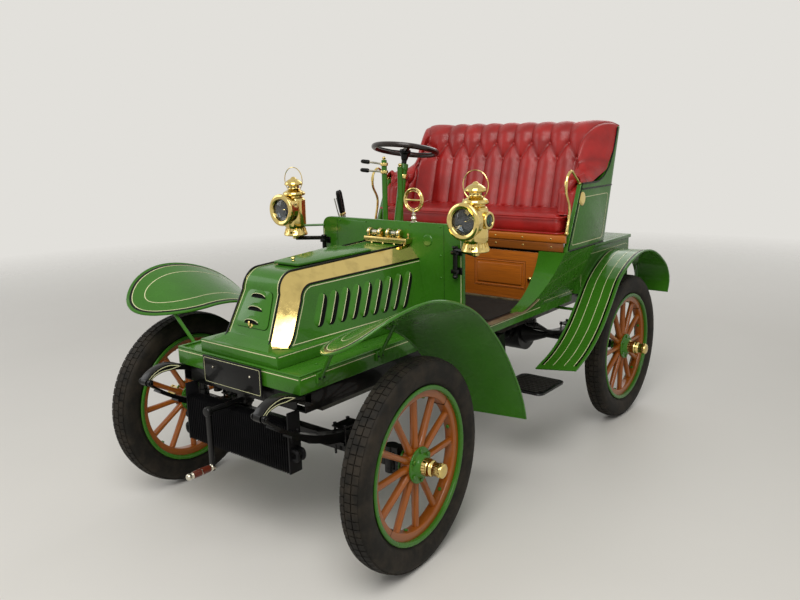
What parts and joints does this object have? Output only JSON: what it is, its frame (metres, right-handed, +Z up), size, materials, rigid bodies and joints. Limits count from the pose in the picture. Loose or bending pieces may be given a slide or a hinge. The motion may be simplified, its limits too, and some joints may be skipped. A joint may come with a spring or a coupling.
{
  "type": "veteran two-seat light car",
  "caption": "Open veteran light car with a bench seat, louvred bonnet, low tubular radiator, oil lamps, wooden spoked wheels, wings and a rear locker.",
  "frame": {"origin": "on the ground, midway between the axles and between the wheels of each axle", "axes": "+Z up, -Y to the front of the car, +X to the car's left-hand side"},
  "size_m": [1.44, 2.6354, 1.4482],
  "materials": {
    "wheel_wood": "varnished",
    "tyre": "matt",
    "black_iron": "gloss enamel",
    "green_enamel": "gloss enamel",
    "polished_brass": "polished",
    "varnished_wood": "varnished",
    "dark_wood": "oiled",
    "red_leather": "buttoned hide",
    "cast_metal": "as cast",
    "steel": "bright",
    "gill_black": "matt"
  },
  "bodies": {
    "chassis": {"body_sides": "green_enamel", "bonnet": "green_enamel", "bonnet_bands": "polished_brass", "bonnet_ledge": "green_enamel", "dash": "green_enamel", "engine": "cast_metal", "floor": "dark_wood", "frame": "black_iron", "front_axle": "black_iron", "front_wings": "green_enamel", "gearbox": "cast_metal", "grab_irons": "black_iron", "hand_levers": "steel", "lamps": "polished_brass", "locker": "green_enamel", "lubricator": "polished_brass", "number_plate": "black_iron", "propeller_shaft": "steel", "radiator": "gill_black", "rear_axle": "black_iron", "rear_wings": "green_enamel", "seat_cushion": "red_leather", "seat_front": "varnished_wood", "seat_shell": "green_enamel", "springs": "black_iron", "squab": "red_leather", "steering_column": "green_enamel", "steps": "black_iron"},
    "knuckle_left": {"knuckle_left": "black_iron"},
    "knuckle_right": {"knuckle_right": "black_iron"},
    "road_wheel_front_left": {"wheel_front_left": "wheel_wood", "tyre_front_left": "tyre"},
    "road_wheel_front_right": {"wheel_front_right": "wheel_wood", "tyre_front_right": "tyre"},
    "road_wheel_rear_left": {"wheel_rear_left": "wheel_wood", "tyre_rear_left": "tyre"},
    "road_wheel_rear_right": {"wheel_rear_right": "wheel_wood", "tyre_rear_right": "tyre"},
    "track_link": {"tie_rod": "black_iron"},
    "steering_drop_arm": {"drop_arm": "black_iron"},
    "drag_rod": {"drag_link": "black_iron"},
    "hand_wheel": {"steering_wheel": "dark_wood"},
    "bonnet_flap": {"bonnet_lid": "green_enamel"},
    "locker_flap": {"locker_lid": "green_enamel"},
    "starting_crank": {"starting_handle": "steel"}
  },
  "joints": [
    {"name": "steer_left", "type": "hinge", "parent": "chassis", "child": "knuckle_left", "pos_m": [0.5, -0.86, 0.355], "axis": [0, 0, 1], "range_deg": [-31.8, 24.2]},
    {"name": "steer_right", "type": "hinge", "parent": "chassis", "child": "knuckle_right", "pos_m": [-0.5, -0.86, 0.355], "axis": [0, 0, 1], "range_deg": [-31.8, 24.2]},
    {"name": "roll_front_left", "type": "hinge", "parent": "knuckle_left", "child": "road_wheel_front_left", "pos_m": [0.5898, -0.85403, 0.355], "axis": [0.9978, 0.0663, 0], "continuous": true},
    {"name": "roll_front_right", "type": "hinge", "parent": "knuckle_right", "child": "road_wheel_front_right", "pos_m": [-0.5898, -0.86596, 0.355], "axis": [0.9978, 0.0663, 0], "continuous": true},
    {"name": "roll_rear_left", "type": "hinge", "parent": "chassis", "child": "road_wheel_rear_left", "pos_m": [0.59, 0.86, 0.355], "axis": [1, 0, 0], "continuous": true},
    {"name": "roll_rear_right", "type": "hinge", "parent": "chassis", "child": "road_wheel_rear_right", "pos_m": [-0.59, 0.86, 0.355], "axis": [1, 0, 0], "continuous": true},
    {"name": "track_link_left_eye", "type": "hinge", "parent": "knuckle_left", "child": "track_link", "pos_m": [0.49205, -0.74026, 0.318], "axis": [0, 0, 1], "range_deg": [-24.2, 31.8]},
    {"name": "drop_arm_swing", "type": "hinge", "parent": "chassis", "child": "steering_drop_arm", "pos_m": [-0.3, 0, 0.432], "axis": [0, 0, 1], "range_deg": [-31.8, 24.2]},
    {"name": "drag_rod_rear_eye", "type": "hinge", "parent": "steering_drop_arm", "child": "drag_rod", "pos_m": [-0.2102, 0.00596, 0.432], "axis": [0, 0, 1], "range_deg": [-24.2, 31.8]},
    {"name": "hand_wheel_turn", "type": "hinge", "parent": "chassis", "child": "hand_wheel", "pos_m": [-0.22, 0.17, 1.337], "axis": [0, 0.2037, 0.979], "range_deg": [-190.8, 145.2]},
    {"name": "bonnet_flap_hinge", "type": "hinge", "parent": "chassis", "child": "bonnet_flap", "pos_m": [0, -0.459, 0.971], "axis": [-1, 0, 0], "range_deg": [0, 70]},
    {"name": "locker_flap_hinge", "type": "hinge", "parent": "chassis", "child": "locker_flap", "pos_m": [0, 0.737, 0.868], "axis": [1, 0, 0], "range_deg": [0, 78]},
    {"name": "starting_crank_turn", "type": "hinge", "parent": "chassis", "child": "starting_crank", "pos_m": [0, -1.05, 0.517], "axis": [0, -1, 0], "continuous": true}
  ],
  "couplings": [
    {"joint": "steer_right", "follows": "steer_left", "ratio": 1},
    {"joint": "track_link_left_eye", "follows": "steer_left", "ratio": -1},
    {"joint": "drop_arm_swing", "follows": "steer_left", "ratio": 1},
    {"joint": "drag_rod_rear_eye", "follows": "steer_left", "ratio": -1},
    {"joint": "hand_wheel_turn", "follows": "steer_left", "ratio": 6}
  ]
}
